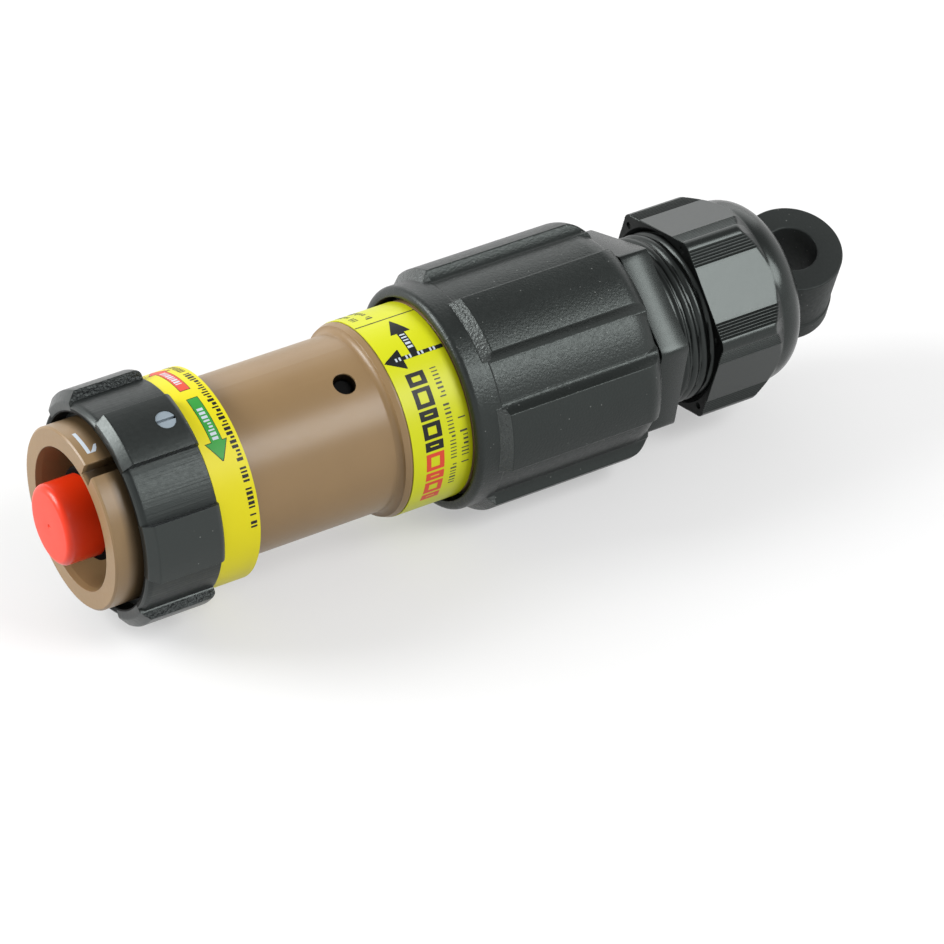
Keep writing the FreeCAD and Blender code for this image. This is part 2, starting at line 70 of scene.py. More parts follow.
camera = bpy.data.objects.new("camera", bpy.data.cameras.new("camera"))
bpy.context.scene.collection.objects.link(camera)
camera.location = (-0.42650, -0.89212, 0.70644)
camera.rotation_euler = Vector((0.42808, 0.69702, -0.57525)).to_track_quat("-Z", "Y").to_euler()
camera.data.sensor_width = 36.0
camera.data.lens = 179.24
camera.data.clip_end = 50.0
bpy.context.scene.camera = camera


# Materials

def new_material(name):
    material = bpy.data.materials.new(name)
    material.use_nodes = True
    tree = material.node_tree
    shader = tree.nodes["Principled BSDF"]
    return material, tree, shader


def add(tree, kind, **values):
    """New shader node. A value sets the input of that name, with _ for a blank, or else the
    node's own setting."""
    node = tree.nodes.new("ShaderNode" + kind)
    for key, value in values.items():
        socket = node.inputs.get(key.replace("_", " "))
        if socket is not None:
            socket.default_value = value
        else:
            setattr(node, key, value)
    return node


def noise(tree, scale, detail, stretch=(1, 1, 1)):
    """Noise in millimetres: scale is in cycles per millimetre."""
    place = add(tree, "TexCoord")
    mapping = add(tree, "Mapping")
    mapping.inputs["Scale"].default_value = [share / MM for share in stretch]
    texture = add(tree, "TexNoise", Scale=scale, Detail=detail)
    tree.links.new(place.outputs["Object"], mapping.inputs["Vector"])
    tree.links.new(mapping.outputs["Vector"], texture.inputs["Vector"])
    return texture


def spread(tree, source, low, high, start=0.3, end=0.7):
    """Turns values from start to end into values from low to high."""
    node = add(tree, "MapRange")
    node.inputs["From Min"].default_value = start
    node.inputs["From Max"].default_value = end
    node.inputs["To Min"].default_value = low
    node.inputs["To Max"].default_value = high
    tree.links.new(source, node.inputs["Value"])
    return node.outputs["Result"]


def combine(tree, operation, *values):
    """One value worked out from several, two at a time."""
    result = values[0]
    for value in values[1:]:
        node = add(tree, "Math", operation=operation)
        tree.links.new(result, node.inputs[0])
        tree.links.new(value, node.inputs[1])
        result = node.outputs[0]
    return result


def distance(tree, vector, shares):
    """Length of a vector, each of its parts first multiplied by a share."""
    scaled = add(tree, "VectorMath", operation="MULTIPLY")
    scaled.inputs[1].default_value = shares
    length = add(tree, "VectorMath", operation="LENGTH")
    tree.links.new(vector, scaled.inputs[0])
    tree.links.new(scaled.outputs["Vector"], length.inputs[0])
    return length.outputs["Value"]


def tone(tree, source, colour, change):
    """Colour that drifts between a darker and a lighter shade of itself."""
    ramp = add(tree, "ValToRGB")
    dark, light = ramp.color_ramp.elements
    dark.position, light.position = 0.3, 0.7
    dark.color = [part * (1 - change) for part in colour] + [1]
    light.color = [min(part * (1 + change), 1) for part in colour] + [1]
    tree.links.new(source, ramp.inputs["Fac"])
    return ramp.outputs["Color"]


def add_dust(tree, colour, dust):
    """Small pale specks, about one in each cell of a few millimetres."""
    place = add(tree, "TexCoord")
    cells = add(tree, "TexVoronoi", Scale=dust / MM)
    mix = add(tree, "MixRGB", Color2=(0.11, 0.115, 0.11, 1))
    tree.links.new(place.outputs["Object"], cells.inputs["Vector"])
    speck = 0.13 * dust
    tree.links.new(spread(tree, cells.outputs["Distance"], 1, 0, speck, speck * 1.8), mix.inputs["Fac"])
    tree.links.new(colour, mix.inputs["Color1"])
    return mix.outputs["Color"]


def plastic(
    name, colour, rough, change, grain=None, edge=0.0, streak=None, drift=0.05, dust=0.0, **values
):
    """Moulded plastic or rubber. change and drift say how far the colour and the roughness wander.
    grain and streak are (cycles per mm, bump height in mm, strength). edge rounds sharp corners in
    the shading, in mm. dust is in cells per mm."""
    material, tree, shader = new_material(name)
    cloud = noise(tree, 0.06, 3.0)
    base = tone(tree, cloud.outputs["Fac"], colour, change)
    tree.links.new(add_dust(tree, base, dust) if dust else base, shader.inputs["Base Color"])
    fine = noise(tree, 0.9, 4.0)
    tree.links.new(
        spread(tree, fine.outputs["Fac"], rough - drift, rough + drift), shader.inputs["Roughness"]
    )
    normal = None
    if edge:
        bevel = add(tree, "Bevel", samples=6, Radius=edge * MM)
        normal = bevel.outputs["Normal"]
    layers = [(grain, (1, 1, 1))] if grain else []
    if streak:
        layers.append((streak, (0.03, 1, 1)))
    for (scale, height, strength), stretch in layers:
        texture = noise(tree, scale, 3.0, stretch)
        bump = add(tree, "Bump", Strength=strength, Distance=height * MM)
        tree.links.new(texture.outputs["Fac"], bump.inputs["Height"])
        if normal is not None:
            tree.links.new(normal, bump.inputs["Normal"])
        normal = bump.outputs["Normal"]
    if normal is not None:
        tree.links.new(normal, shader.inputs["Normal"])
    for key, value in values.items():
        shader.inputs[key.replace("_", " ")].default_value = value
    return material


def metal(name, colour, rough, **values):
    return plastic(name, colour, rough, 0.08, (1.2, 0.01, 0.2), 0.1, Metallic=1.0, **values)


# Settings that several finishes share: the tint and strength of reflections, and even roughness. shaded
# dims the reflections of the painted-shade finishes.
cool = {"Specular_Tint": (0.90, 1.0, 0.97, 1)}
dull = {"Specular_IOR_Level": 0.41, **cool}
shaded = {"Specular_IOR_Level": 0.12, **cool}
faint = {"Specular_IOR_Level": 0.25}
soft = {"drift": 0.01}
brown = plastic(
    "brown_insulator", (0.242, 0.155, 0.072), 0.34, 0.04, (2.2, 0.02, 0.1), 0.28,
    drift=0.03, Specular_IOR_Level=0.4,
)
ring_black = plastic(
    "ring_plastic", (0.0105, 0.0120, 0.0116), 0.33, 0.1, (2.0, 0.03, 0.3),
    streak=(1.3, 0.05, 0.4), dust=0.28, Specular_IOR_Level=0.54, **cool,
)
# Painted shade: a darker, less reflective copy of the ring plastic, for the recess and front edges that
# the nose shades.
ring_inside_painted_shade = plastic("ring_inside_painted_shade", (0.005, 0.0055, 0.0054), 0.5, 0.1, **shaded)
ring_brushed = plastic(
    "ring_brushed", (0.0095, 0.0110, 0.0108), 0.40, 0.1, streak=(1.5, 0.10, 0.7), **dull
)
ring_spark = plastic("ring_spark", (0.012, 0.013, 0.014), 0.36, 0.2, (1.3, 0.5, 1.0), **dull)
grip_black = plastic(
    "grip_plastic", (0.0095, 0.0112, 0.0106), 0.37, 0.1, (1.5, 0.16, 0.6), dust=0.36, **dull
)
grip_spark = plastic("grip_spark", (0.038, 0.041, 0.040), 0.34, 0.4, (1.3, 0.5, 0.9), **cool)
gland_black = plastic(
    "gland_plastic", (0.005, 0.006, 0.0057), 0.27, 0.1, (2.4, 0.006, 0.08),
    drift=0.01, Specular_IOR_Level=0.48, **cool,
)
rib_black = plastic(
    "rib_plastic", (0.005, 0.006, 0.0057), 0.33, 0.1, drift=0.01, Specular_IOR_Level=0.36, **cool
)
# Painted shade: a darker, less reflective copy of the black plastic, for the nut's front face that the
# gland shades.
nut_front_painted_shade = plastic("nut_front_painted_shade", (0.003, 0.0034, 0.0033), 0.45, 0.1, **shaded)
thread_black = plastic(
    "thread_plastic", (0.004, 0.0045, 0.0043), 0.35, 0.1, drift=0.01, Specular_IOR_Level=0.52, **cool
)
nut_grain = plastic(
    "nut_grain", (0.006, 0.007, 0.0067), 0.29, 0.1, (2.0, 0.03, 0.3),
    drift=0.01, Specular_IOR_Level=0.54, **cool,
)
rubber = plastic(
    "insert_rubber", (0.008, 0.009, 0.0088), 0.60, 0.1, (2.2, 0.06, 0.5), drift=0.06, dust=0.4, **dull
)
seal = plastic("seal_rubber", (0.010, 0.010, 0.010), 0.5, 0.1, (2.0, 0.02, 0.3))
tip_red = plastic("tip_red", (0.72, 0.030, 0.003), 0.30, 0.01, Specular_IOR_Level=0.4, **soft)
band_yellow = plastic("band_yellow", (0.66, 0.585, 0.008), 0.42, 0.01, Specular_IOR_Level=0.25, **soft)
label_yellow = plastic("label_yellow", (0.55, 0.575, 0.004), 0.40, 0.01, Specular_IOR_Level=0.3, **soft)
print_black = plastic("print_black", (0.008, 0.009, 0.009), 0.42, 0.1, **faint)
print_grey = plastic("print_grey", (0.06, 0.065, 0.035), 0.42, 0.1, **faint)
print_white = plastic("print_white", (0.50, 0.56, 0.62), 0.42, 0.03, **faint)
print_green = plastic("print_green", (0.032, 0.28, 0.042), 0.42, 0.03, **faint)
print_red = plastic("print_red", (0.62, 0.060, 0.030), 0.42, 0.03, **faint)
plug_grey = plastic("plug_grey", (0.24, 0.29, 0.33), 0.40, 0.05, (2.0, 0.02, 0.2), 0.1)
# Painted shade: the silver contact is made near-black, with dim reflections, for the dark bore it sits
# in.
silver = metal("contact_silver", (0.018, 0.0165, 0.0155), 0.6, Specular_Tint=(0.12, 0.11, 0.10, 1))
steel = metal("steel", (0.52, 0.52, 0.53), 0.32)
latch_dark = metal("latch_dark", (0.012, 0.012, 0.012), 0.6)
cage_grey = plastic("cage_plastic", (0.035, 0.036, 0.038), 0.4, 0.1, (2.0, 0.02, 0.2), 0.15)


# Sizes that the pieces share

nose_radius, nose_bore = 25.0, 19.4
barrel_radius = 24.6
latch_x, latch_angle, latch_travel, latch_hole = 75.6, 27.2, 4.6, 3.15
ring_start = 6.8


# Painted shade on the insulator

def add_painted_shade(tree, amount):
    """Covers the base colour with a dark brown painted shade, wholly where amount is 1."""
    base = tree.nodes["Principled BSDF"].inputs["Base Color"]
    mix = add(tree, "MixRGB", Color2=(0.012, 0.008, 0.004, 1))
    tree.links.new(amount, mix.inputs["Fac"])
    tree.links.new(base.links[0].from_socket, mix.inputs["Color1"])
    tree.links.new(mix.outputs["Color"], base)


def darken_hole(tree):
    """Painted shade on the wall of the latch hole, below the surface of the barrel."""
    place = add(tree, "TexCoord")
    mapping = add(tree, "Mapping")
    mapping.inputs["Location"].default_value = (-latch_x * MM, 0, 0)
    mapping.inputs["Rotation"].default_value = (math.radians(-latch_angle), 0, 0)
    part = add(tree, "SeparateXYZ")
    tree.links.new(place.outputs["Object"], mapping.inputs["Vector"])
    tree.links.new(mapping.outputs["Vector"], part.inputs["Vector"])
    away = distance(tree, mapping.outputs["Vector"], (1, 1, 0))
    near = spread(tree, away, 1, 0, (latch_hole + 0.1) * MM, (latch_hole + 0.2) * MM)
    deep = spread(tree, part.outputs["Z"], 1, 0, (barrel_radius - 0.8) * MM, (barrel_radius - 0.3) * MM)
    add_painted_shade(tree, combine(tree, "MULTIPLY", near, deep))


def darken_nose(tree, amount):
    """Painted shade in the keyway, and on the outside of the nose towards the ring, which the ring
    shades.
    """
    place = add(tree, "TexCoord")
    part = add(tree, "SeparateXYZ")
    tree.links.new(place.outputs["Object"], part.inputs["Vector"])
    x = part.outputs["X"]
    radius = distance(tree, place.outputs["Object"], (0, 1, 1))
    beside = spread(tree, x, 0, amount, (ring_start - 3.4) * MM, (ring_start - 0.2) * MM)
    keyway = spread(tree, radius, amount * 0.8, 0, (nose_radius - 0.9) * MM, (nose_radius - 0.4) * MM)
    outside = spread(tree, radius, 0, 1, (nose_bore + 0.4) * MM, (nose_bore + 0.8) * MM)
    behind_face = spread(tree, x, 0, 1, 0.6 * MM, 1.4 * MM)
    before_barrel = spread(tree, x, 1, 0, 20 * MM, 21 * MM)
    painted_shade = combine(tree, "MAXIMUM", beside, keyway)
    add_painted_shade(tree, combine(tree, "MULTIPLY", painted_shade, outside, behind_face, before_barrel))


darken_hole(brown.node_tree)
darken_nose(brown.node_tree, 0.8)


# Finish of the solids

for node, material in {
    "front_shell": brown,
    "locking_ring": ring_black,
    "ring_label": band_yellow,
    "ring_guide_screw": plug_grey,
    "ring_o_ring": seal,
    "contact_pin": silver,
    "contact_tip": tip_red,
    "contact_seal": seal,
    "latch_pin": latch_dark,
    "latch_spring": steel,
    "front_clamp_screw": steel,
    "rear_clamp_screw": steel,
    "rear_label": label_yellow,
    "shell_seal": seal,
    "rear_grip": grip_black,
    "gland_gasket": seal,
    "gland_body": gland_black,
    "gland_claw": cage_grey,
    "dome_nut": gland_black,
    "seal_insert": rubber,
}.items():
    mesh = nodes[node].data
    mesh.materials.clear()
    mesh.materials.append(material)


# Mesh building

def soft_min(a, b, width):
    """The smaller of two values, rounded where they cross."""
    h = np.clip(0.5 + 0.5 * (b - a) / width, 0, 1)
    return b + (a - b) * h - width * h * (1 - h)


def soft_max(a, b, width):
    """The larger of two values, rounded where they cross."""
    return -soft_min(-a, -b, width)


def smooth_step(value, start, end):
    """0 up to start and 1 from end, with an S-shaped rise between."""
    t = np.clip((value - start) / (end - start), 0, 1)
    return t * t * (3 - 2 * t)


def quarter(away, radius):
    """How far a rounded edge lies below the surface, at a distance from the edge."""
    t = np.clip(radius - away, 0, radius)
    return radius - np.sqrt(radius**2 - t**2)


def steps(*pieces):
    """Stations from (start, end, step) runs."""
    values = []
    for start, end, step in pieces:
        count = max(1, round((end - start) / step))
        values += [start + (end - start) * number / count for number in range(count + 1)]
    return sorted(set(round(value, 4) for value in values))


def new_piece(name, vertices, faces, materials, sharp, indices=None):
    """Smooth-shaded mesh with creases above the sharp angle. indices are the faces' material numbers."""
    mesh = bpy.data.meshes.new(name)
    mesh.from_pydata((np.asarray(vertices) * MM).tolist(), [], faces)
    for material in materials:
        mesh.materials.append(material)
    if indices is not None:
        mesh.polygons.foreach_set("material_index", np.asarray(indices, np.int32))
    mesh.validate()
    shape = bmesh.new()
    shape.from_mesh(mesh)
    bmesh.ops.recalc_face_normals(shape, faces=shape.faces)
    shape.to_mesh(mesh)
    shape.free()
    mesh.polygons.foreach_set("use_smooth", [True] * len(mesh.polygons))
    mesh.set_sharp_from_angle(angle=math.radians(sharp))
    piece = bpy.data.objects.new(name, mesh)
    bpy.context.scene.collection.objects.link(piece)
    return piece


def skin(name, rows, angles, materials, zone, sharp=40):
    """Closed surface round the axis. A row is (x, radius), numbers or one for each angle,
    and the last row joins the first. zone gives a material number from (x, radius, angle)."""
    count = len(angles)
    xs = np.array([np.broadcast_to(x, count) for x, r in rows], float)
    rs = np.array([np.broadcast_to(r, count) for x, r in rows], float)
    turn = np.radians(angles)
    points = np.stack([xs, -rs * np.sin(turn), rs * np.cos(turn)], -1).reshape(-1, 3)
    row, column = np.meshgrid(np.arange(len(rows)), np.arange(count), indexing="ij")
    next_row = (row + 1) % len(rows)
    next_column = (column + 1) % count
    faces = np.stack(
        [
            row * count + column,
            next_row * count + column,
            next_row * count + next_column,
            row * count + next_column,
        ],
        -1,
    ).reshape(-1, 4)
    middle_x = (xs + xs[next_row[:, 0]]) / 2
    middle_r = (rs + rs[next_row[:, 0]]) / 2
    middle_angle = angles + np.diff(np.append(angles, angles[0] + 360)) / 2
    indices = zone(middle_x, middle_r, np.broadcast_to(middle_angle, xs.shape))
    return new_piece(name, points, faces.tolist(), materials, sharp, indices.reshape(-1))


def angle_list(coarse, *zones):
    """Clock angles all round: a coarse step, and finer runs (centre, half width, step)."""
    values = set(np.round(np.arange(0, 360, coarse), 4))
    for centre, half, step in zones:
        low = centre - half
        values = {v for v in values if (v - low) % 360 > 2 * half}
        values |= {round((low + step * k) % 360, 4) for k in range(round(2 * half / step) + 1)}
    return np.array(sorted(values))


def from_centre(angle, first):
    """Angular distance to the nearest of six evenly spaced angles."""
    return np.abs((angle - first + 30.0) % 60.0 - 30.0)


def lathe(name, profile, material, segments):
    """Solid of revolution about Z from a closed profile of (radius, z) points."""
    turn = np.linspace(0, 2 * math.pi, segments, endpoint=False)
    vertices = []
    rings = []
    for radius, z in profile:
        if radius < 1e-6:
            rings.append([len(vertices)] * segments)
            vertices.append((0.0, 0.0, z))
        else:
            rings.append(list(range(len(vertices), len(vertices) + segments)))
            vertices += [(radius * math.cos(t), radius * math.sin(t), z) for t in turn]
    faces = []
    for here, there in zip(rings, rings[1:] + rings[:1]):
        for k in range(segments):
            corner = [here[k], there[k], there[(k + 1) % segments], here[(k + 1) % segments]]
            corner = list(dict.fromkeys(corner))
            if len(corner) > 2:
                faces.append(corner)
    return new_piece(name, vertices, faces, [material], 60)


def rounded(points, radii, count=6):
    """Closed profile with its corners rounded, each in count steps."""
    result = []
    total = len(points)
    for number, (point, radius) in enumerate(zip(points, radii)):
        here = Vector(point)
        if radius <= 0:
            result.append(tuple(here))
            continue
        before = (Vector(points[number - 1]) - here).normalized()
        after = (Vector(points[(number + 1) % total]) - here).normalized()
        half = before.angle(after) / 2
        reach = radius / math.tan(half)
        centre = here + (before + after).normalized() * (radius / math.sin(half))
        start = here + before * reach - centre
        end = here + after * reach - centre
        for step in range(count + 1):
            mix = start.lerp(end, step / count)
            result.append(tuple(centre + mix.normalized() * radius))
    return result


def finish_piece(piece, body, replaced):
    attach(piece, body)
    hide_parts(replaced)


# Locking ring

band_start, ring_end = 28.4, 40.0
ring_low, ring_high, ring_front, ring_band = 29.5, 32.2, 28.3, 28.8
ring_bore, ring_recess, recess_end = 25.1, 26.7, 11.0
ring_blocks, ring_half, ring_side = 22.5, 15.0, 0.4
low_slope, block_slope, block_rear = 0.923, 1.227, 2.0
screw_x, screw_angle, screw_radius = 22.8, 21.5, 2.75
hole_low, hole_high = 23.0, 34.0


def ring_radius(x, angle):
    """Low round body with six blocks that have sloped fronts, steep sides and round rears."""
    away = from_centre(angle, ring_blocks)
    side = ring_high - (away - ring_half) / ring_side * (ring_high - ring_low)
    low = soft_min(ring_low, ring_front + (x - ring_start) * low_slope, 0.5)
    top = soft_min(ring_high, ring_low + (x - ring_start) * block_slope, 0.12)
    top = top - quarter(band_start - x, block_rear)
    block = soft_min(top, side, 0.22)
    edge = quarter(x - ring_start, 0.25) + quarter(band_start - x, 0.2)
    return soft_max(low, block, 0.25) - edge


def ring_zone(x, radius, angle):
    """Sparkling sides of the blocks, brushed low panels, and an inside that is darkened and dulled as
    painted shade.
    """
    away = from_centre(angle, ring_blocks)
    middle = (x > ring_start + 0.6) & (x < band_start)
    beyond = away >= ring_half + 0.6
    on_side = middle & (away > ring_half - 0.05) & ~beyond & (radius > ring_low + 0.05)
    low = middle & beyond & (radius > ring_front)
    inside = (x < recess_end) & (radius < ring_front - 0.2)
    return np.select([on_side, low, inside], [1, 2, 3], 0)


ring_edge = ring_half + ring_side / 2
ring_sides = [ring_blocks + 60 * k + way * ring_edge for k in range(6) for way in (-1, 1)]
ring_angles = angle_list(1.5, *[(side, 1.12, 0.07) for side in ring_sides])
ring_x = steps(
    (ring_start, ring_start + 0.3, 0.06),
    (ring_start + 0.3, ring_start + 2.8, 0.23),
    (ring_start + 2.8, band_start - block_rear, 2.1),
    (band_start - block_rear, band_start, 0.12),
)
ring_rows = [(x, ring_radius(x, ring_angles)) for x in ring_x]
ring_rows += [
    (band_start, ring_band),
    (ring_end - 0.2, ring_band),
    (ring_end, ring_band - 0.2),
    (ring_end, ring_bore),
    (recess_end, ring_bore),
    (recess_end, ring_recess),
    (ring_start + 0.6, ring_recess),
    (ring_start + 0.18, ring_recess + 0.18),
    (ring_start, ring_recess + 0.6),
]
ring_materials = [ring_black, ring_spark, ring_brushed, ring_inside_painted_shade]
ring = skin("locking_ring_moulding", ring_rows, ring_angles, ring_materials, ring_zone)


def drill(piece, x, angle, radius, low, high):
    """Cuts a round radial hole."""
    hole = bpy.data.objects.new("hole", bpy.data.meshes.new("hole"))
    shape = bmesh.new()
    wide, depth = radius * MM, (high - low) * MM
    bmesh.ops.create_cone(shape, cap_ends=True, segments=48, radius1=wide, radius2=wide, depth=depth)
    shape.to_mesh(hole.data)
    shape.free()
    bpy.context.scene.collection.objects.link(hole)
    turn = Matrix.Rotation(math.radians(angle), 4, "X")
    hole.matrix_world = turn @ Matrix.Translation((x * MM, 0, (low + high) / 2 * MM))
    bpy.context.view_layer.update()
    cut = piece.modifiers.new("cut", "BOOLEAN")
    cut.operation = "DIFFERENCE"
    cut.object = hole
    cut.solver = "EXACT"
    depsgraph = bpy.context.evaluated_depsgraph_get()
    mesh = bpy.data.meshes.new_from_object(piece.evaluated_get(depsgraph))
    piece.modifiers.clear()
    piece.data = mesh
    bpy.data.objects.remove(hole)


drill(ring, screw_x, screw_angle, screw_radius, hole_low, hole_high)
finish_piece(ring, "ring", "locking_ring")


# Rear grip

grip_start, grip_end, collar_end = 104.6, 162.6, 112.6
grip_collar, grip_low, grip_high = 31.3, 30.9, 33.9
grip_opening, grip_thread, grip_cavity, grip_bore = 28.5, 28.05, 22.0, 20.05
thread_start, cavity_start, web_start = 112.0, 128.0, 150.0
grip_blocks, grip_half, grip_fade = 27.0, 15.0, 5.0
block_front, rear_bend, low_drop, high_drop = 110.0, 156.6, 1.8, 3.6
collar_round, front_slope = 1.8, 3.5 / 3.6


def bend(x, top, drop):
    """Rear end that curves in, over the last six millimetres."""
    return top - drop * np.clip((x - rear_bend) / (grip_end - rear_bend), 0, 1) ** 2.4


def grip_radius(x, angle):
    """Collar and low body with six blocks whose fronts slope and whose sides run out."""
    collar = grip_collar - np.clip(x - collar_end, 0, grip_collar - grip_low)
    base = bend(x, collar, low_drop) - quarter(x - grip_start, collar_round)
    if x < block_front:
        return base + 0 * angle
    away = from_centre(angle, grip_blocks)
    fade = np.clip((away - grip_half) / grip_fade, 0, 1)
    rise = np.clip(grip_half - away, 0, grip_half) * 0.7
    side = grip_low + (grip_high - grip_low) * (1 - fade) ** 2 + rise
    side = side - np.maximum(away - grip_half - grip_fade, 0) * 0.6
    slope = grip_low - 0.5 + (x - block_front) * front_slope
    top = soft_min(bend(x, grip_high, high_drop), slope, 0.2)
    block = soft_min(top, side, 0.25)
    return soft_max(base, block, 0.12) - quarter(grip_end - x, 0.3)


def grip_zone(x, radius, angle):
    """Sparkling sloped fronts of the blocks."""
    on_block = (from_centre(angle, grip_blocks) < 18.5) & (radius > grip_collar + 0.1)
    on_front = on_block & (x > block_front + 0.9) & (x < block_front + 3.55)
    return np.where(on_front, 1, 0)


grip_edge = grip_half + grip_fade / 2
grip_sides = [grip_blocks + 60 * k + way * grip_edge for k in range(6) for way in (-1, 1)]
grip_angles = angle_list(1.5, *[(side, 4.0, 0.25) for side in grip_sides])
grip_x = steps(
    (grip_start, grip_start + collar_round, 0.15),
    (grip_start + collar_round, block_front, 1.2),
    (block_front, block_front + 4.0, 0.16),
    (block_front + 4.0, rear_bend, 4.0),
    (rear_bend, grip_end, 0.3),
)
grip_rows = [(x, grip_radius(x, grip_angles)) for x in grip_x]
grip_rows += [
    (grip_end, grip_bore),
    (web_start, grip_bore),
    (web_start, grip_cavity),
    (cavity_start, grip_cavity),
    (cavity_start, grip_thread),
    (thread_start, grip_thread),
    (thread_start, grip_opening),
    (grip_start + 0.5, grip_opening),
    (grip_start + 0.15, grip_opening + 0.1),
    (grip_start, grip_opening + 0.5),
]
grip = skin("rear_grip_moulding", grip_rows, grip_angles, [grip_black, grip_spark], grip_zone)
finish_piece(grip, "shell", "rear_grip")


# Gland body with its thread

tail_start, hex_start, hex_end, gland_end = 149.0, 164.0, 172.8, 192.5
gland_corner, gland_across, gland_corner_cut = 12.0, 50.8, 29.1
gland_root, gland_tail, gland_bore, gland_seat, seat_x = 23.05, 20.0, 17.0, 21.1, 174.33
thread_pitch, thread_height, crest_x = 3.0, 0.8, 177.58


def hex_radius(angle, across, corner_angle):
    """Sharp hexagon of a width across its flats."""
    from_flat = from_centre(angle, corner_angle + 30)
    return across / 2 / np.cos(np.radians(from_flat))


gland_angles = angle_list(2.0, *[(gland_corner + 60 * k, 1.6, 0.2) for k in range(6)])
gland_hex = soft_min(hex_radius(gland_angles, gland_across, gland_corner), gland_corner_cut, 0.5)


def thread_radius(x, angle):
    """Helix with round crests and narrow roots, which runs out at both ends."""
    turn = (x - crest_x) / thread_pitch - angle / 360.0
    wave = 0.5 + 0.5 * np.cos(2 * math.pi * turn)
    crest = thread_height * np.sqrt(np.clip(wave * 1.15 - 0.12, 0, 1))
    rise = smooth_step(x, hex_end + 1.5, hex_end + 3.2)
    fall = 1 - smooth_step(x, gland_end - 2.0, gland_end - 0.5)
    return gland_root + crest * rise * fall


gland_rows = [
    (hex_start, gland_hex - 0.3),
    (hex_start + 0.09, gland_hex - 0.09),
    (hex_start + 0.3, gland_hex),
    (hex_end - 0.3, gland_hex),
    (hex_end - 0.09, gland_hex - 0.09),
    (hex_end, gland_hex - 0.3),
    (hex_end, gland_root + 0.35),
    (hex_end + 0.1, gland_root + 0.1),
    (hex_end + 0.35, gland_root),
]
thread_x = steps((hex_end + 0.6, gland_end - 0.2, 0.199))
gland_rows += [(x, thread_radius(x, gland_angles)) for x in thread_x]
gland_rows += [
    (gland_end, gland_root - 0.8),
    (gland_end, gland_seat),
    (seat_x, gland_seat),
    (seat_x, gland_bore),
    (tail_start + 0.8, gland_bore),
    (tail_start, gland_bore + 0.8),
    (tail_start, gland_tail - 0.8),
    (tail_start + 0.8, gland_tail),
    (hex_start, gland_tail),
]


def gland_zone(x, radius, angle):
    """The thread, behind the hexagon."""
    return np.where((x > hex_end) & (radius > gland_root - 0.55), 1, 0)


gland = skin("gland_body_moulding", gland_rows, gland_angles, [gland_black, thread_black], gland_zone, 32)
finish_piece(gland, "shell", "gland_body")


# Dome nut

nut_start, nut_end, bevel_start, dome_start = 183.0, 214.8, 198.3, 205.0
cone_start, cone_end = 199.6, 206.95
nut_corner, nut_across, nut_edge = 19.0, 52.0, 3.4
nut_mouth, nut_rim, nut_thread, nut_bevel, nut_shoulder = 16.6, 18.6, 23.95, 31.02, 26.1
dome_middle = (211.57, 23.93)
rib_pitch, rib_count, rib_depth, rib_inner = 0.837, 6, 0.3, 8.0
dot_place, dot_turn, dot_depth = 26.5, -2.0, 0.6


def rib_place(angle):
    """Distance along a flat from its middle, in mm."""
    return nut_across / 2 * np.tan(np.radians((angle - nut_corner) % 60 - 30))


def nut_flat(angle):
    """Hexagon with round corners and a band of V-shaped ribs beside each of them."""
    flat = hex_radius(angle, nut_across, nut_corner)
    away = np.radians(from_centre(angle, nut_corner))
    centre = (nut_across / 2 - nut_edge) / math.cos(math.radians(30))
    edge = centre * np.cos(away) + np.sqrt(np.maximum(nut_edge**2 - (centre * np.sin(away)) ** 2, 0))
    edge_half = math.atan(nut_edge / 2 / (centre + nut_edge * math.cos(math.radians(30))))
    place = np.abs(rib_place(angle))
    phase = (place - rib_inner) / rib_pitch
    inside = (phase > 0) & (phase < rib_count)
    wave = np.clip(np.abs((phase % 1) - 0.5) * 2.4, 0, 1)
    groove = np.where(inside, rib_depth * (1 - wave), 0)
    return np.where(away < edge_half, edge, flat - groove)


def circle_through(a, b, c):
    """Centre and radius of the circle through three points."""
    twice = 2 * (a.x * (b.y - c.y) + b.x * (c.y - a.y) + c.x * (a.y - b.y))
    aa, bb, cc = a.length_squared, b.length_squared, c.length_squared
    x = (aa * (b.y - c.y) + bb * (c.y - a.y) + cc * (a.y - b.y)) / twice
    y = (aa * (c.x - b.x) + bb * (a.x - c.x) + cc * (b.x - a.x)) / twice
    return x, y, (a - Vector((x, y))).length


dome_x, dome_y, dome_radius = circle_through(
    Vector((dome_start, nut_shoulder)), Vector(dome_middle), Vector((nut_end, nut_rim))
)


def nut_envelope(x):
    """Round form that cuts the hexagon's corners: open, then a bevel, then the dome."""
    if x < bevel_start:
        return 40.0
    if x < dome_start:
        return nut_bevel + (nut_shoulder - nut_bevel) * (x - bevel_start) / (dome_start - bevel_start)
    return dome_y + math.sqrt(max(dome_radius**2 - (x - dome_x) ** 2, 0))


def nut_radius(x, angle):
    """The ribbed hexagon inside the round form."""
    return soft_min(nut_flat(angle), nut_envelope(x), 0.25) - quarter(x - nut_start, 0.2)


rib_parts = (0.0, 0.083, 0.25, 0.42, 0.5, 0.58, 0.75, 0.917)
rib_places = [k + part for k in range(rib_count) for part in rib_parts] + [rib_count]
flat_angles = [float(value) for value in range(0, 17, 2)]
for rib in rib_places:
    flat_angles.append(math.degrees(math.atan((rib_inner + rib * rib_pitch) / (nut_across / 2))))
nut_angles = set()
for k in range(6):
    corner = nut_corner + 60 * k
    for value in flat_angles:
        nut_angles |= {round((corner + 30 + way * value) % 360, 4) for way in (-1, 1)}
    nut_angles |= {round((corner + float(value)) % 360, 4) for value in np.linspace(-3.4, 3.4, 19)}
nut_angles = np.array(sorted(nut_angles))

